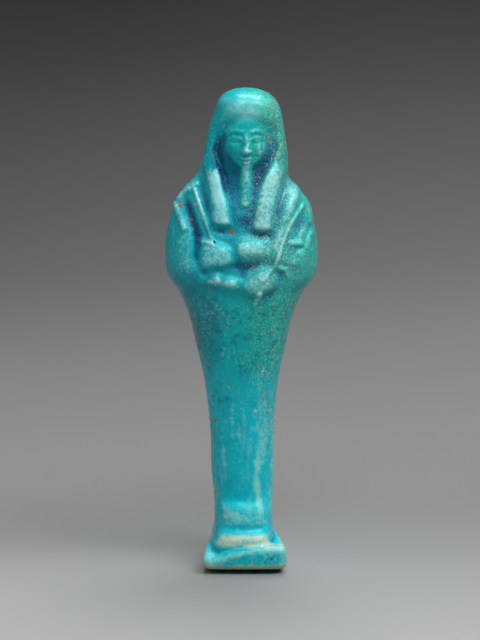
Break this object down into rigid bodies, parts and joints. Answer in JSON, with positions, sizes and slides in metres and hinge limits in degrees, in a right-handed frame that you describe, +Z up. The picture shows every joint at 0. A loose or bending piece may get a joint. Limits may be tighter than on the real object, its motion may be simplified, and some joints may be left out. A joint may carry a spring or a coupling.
{
  "type": "ushabti figurine",
  "caption": "Small moulded faience tomb figurine of a mummy-shaped standing figure in a long wig, with crossed hands holding hoes, on a low plinth.",
  "frame": {"origin": "centre of the plinth's flat underside", "axes": "+Z up the figure, the face looks along -Y, +X towards the figure's left hand side"},
  "size_m": [0.0377, 0.026, 0.12],
  "materials": {
    "turquoise_glaze": "glossy blue-green faience glaze, darker where it pooled in the hollows and paler on the ridges"
  },
  "bodies": {
    "root": {"ushabti_figure": "turquoise_glaze"}
  },
  "joints": []
}
